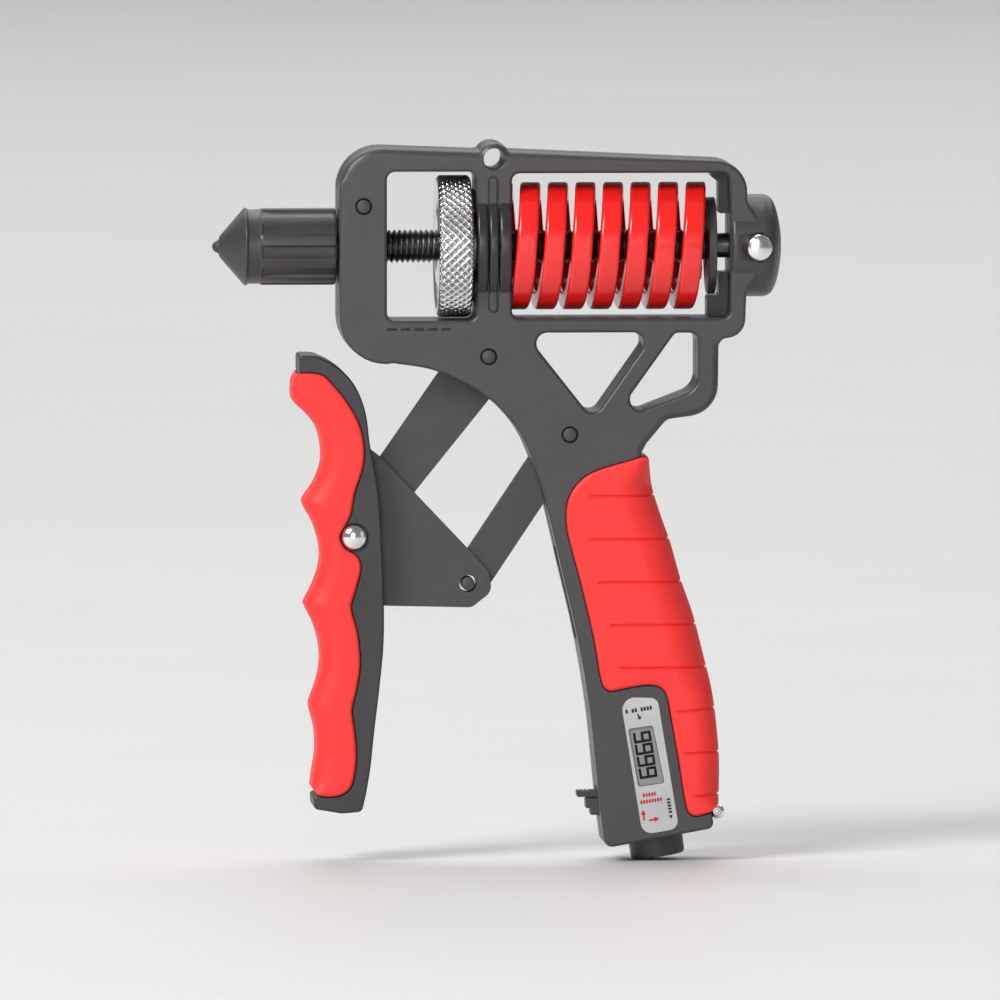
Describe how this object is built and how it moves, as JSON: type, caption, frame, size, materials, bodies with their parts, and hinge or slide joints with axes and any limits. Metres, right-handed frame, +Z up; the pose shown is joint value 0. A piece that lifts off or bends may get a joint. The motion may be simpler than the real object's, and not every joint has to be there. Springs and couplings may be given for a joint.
{
  "type": "hand dynamometer",
  "caption": "Adjustable spring hand grip with a hinged finger handle, knurled preload nut, red die spring and a squeeze counter in the fixed handle.",
  "frame": {"origin": "bottom centre of the bounding box: under the middle of the frame, level with the lowest edge of the handle's foot", "axes": "+Z up from the foot to the spring housing, +X from the finger handle towards the palm, Y across the thickness with the counter on the -Y side"},
  "size_m": [0.1341, 0.0334, 0.1695],
  "materials": {
    "shell": "fine satin grey, glass-filled nylon",
    "link": "satin grey paint on steel plate",
    "red_rubber": "matt soft-touch over-moulding",
    "red_enamel": "gloss enamel on spring steel",
    "black_plastic": "satin black",
    "silver": "bright plated",
    "dark_steel": "blackened",
    "label": "silver-white printed plate",
    "display": "grey liquid crystal display",
    "board": "green circuit board"
  },
  "bodies": {
    "frame": {"front_frame_shell": "shell", "rear_frame_shell": "shell", "front_divider_key": "shell", "rear_divider_key": "shell", "frame_dowel": "shell", "upper_pivot_pin": "shell", "lower_pivot_pin": "shell", "rear_cross_pin": "silver", "guide_post": "dark_steel", "rod_cover": "black_plastic", "main_grip": "red_rubber", "end_foot": "black_plastic", "counter_bezel": "label", "display_window": "display", "circuit_board": "board", "button_cell": "silver", "trigger_guide": "link", "spring": "red_enamel"},
    "squeeze_lever": {"upper_link": "link"},
    "stay_link": {"lower_link": "link"},
    "front_handle": {"front_handle_core": "black_plastic", "front_grip": "red_rubber", "front_bracket": "link", "rear_bracket": "link", "handle_rivet": "silver", "bracket_pin": "link"},
    "thrust_carriage": {"thrust_washer": "dark_steel"},
    "nut": {"adjusting_nut": "silver"},
    "rod": {"tension_rod": "dark_steel", "spring_seat": "shell"},
    "trigger": {"counter_trigger": "black_plastic"},
    "reset": {"reset_button": "silver"}
  },
  "joints": [
    {"name": "squeeze", "type": "hinge", "parent": "frame", "child": "squeeze_lever", "pos_m": [-0.0024, 0, 0.1191], "axis": [0, -1, 0], "range_deg": [0, 20], "stiffness_Nm_per_rad": 5.3, "springref_deg": -13.35},
    {"name": "handle_pivot", "type": "hinge", "parent": "squeeze_lever", "child": "front_handle", "pos_m": [-0.034, 0, 0.0767], "axis": [0, -1, 0], "range_deg": [-16.9, 0.5]},
    {"name": "stay_pivot", "type": "hinge", "parent": "frame", "child": "stay_link", "pos_m": [0.0167, 0, 0.1007], "axis": [0, -1, 0], "range_deg": [-0.5, 25.3]},
    {"name": "thrust_slide", "type": "slide", "parent": "frame", "child": "thrust_carriage", "axis": [-1, 0, 0], "range_m": [-0.0002, 0.0092], "deforming": ["spring"]},
    {"name": "nut_turn", "type": "hinge", "parent": "thrust_carriage", "child": "nut", "pos_m": [-0.0102, 0, 0.1447], "axis": [1, 0, 0], "range_deg": [0, 720]},
    {"name": "preload_slide", "type": "slide", "parent": "thrust_carriage", "child": "rod", "axis": [-1, 0, 0], "range_m": [-0.0001, 0.0026], "deforming": ["spring"]},
    {"name": "trigger_press", "type": "slide", "parent": "frame", "child": "trigger", "axis": [1, 0, 0], "range_m": [0, 0.0018], "stiffness_N_per_m": 100, "springref_m": -0.001},
    {"name": "reset_press", "type": "slide", "parent": "frame", "child": "reset", "axis": [-1, 0, 0], "range_m": [0, 0.001], "stiffness_N_per_m": 100, "springref_m": -0.001}
  ],
  "couplings": [
    {"joint": "handle_pivot", "follows": "squeeze", "ratio": -0.83},
    {"joint": "stay_pivot", "follows": "squeeze", "ratio": 1.24},
    {"joint": "thrust_slide", "follows": "squeeze", "m_per_rad": 0.0257},
    {"joint": "preload_slide", "follows": "nut_turn", "m_per_rad": 0.00019894}
  ]
}
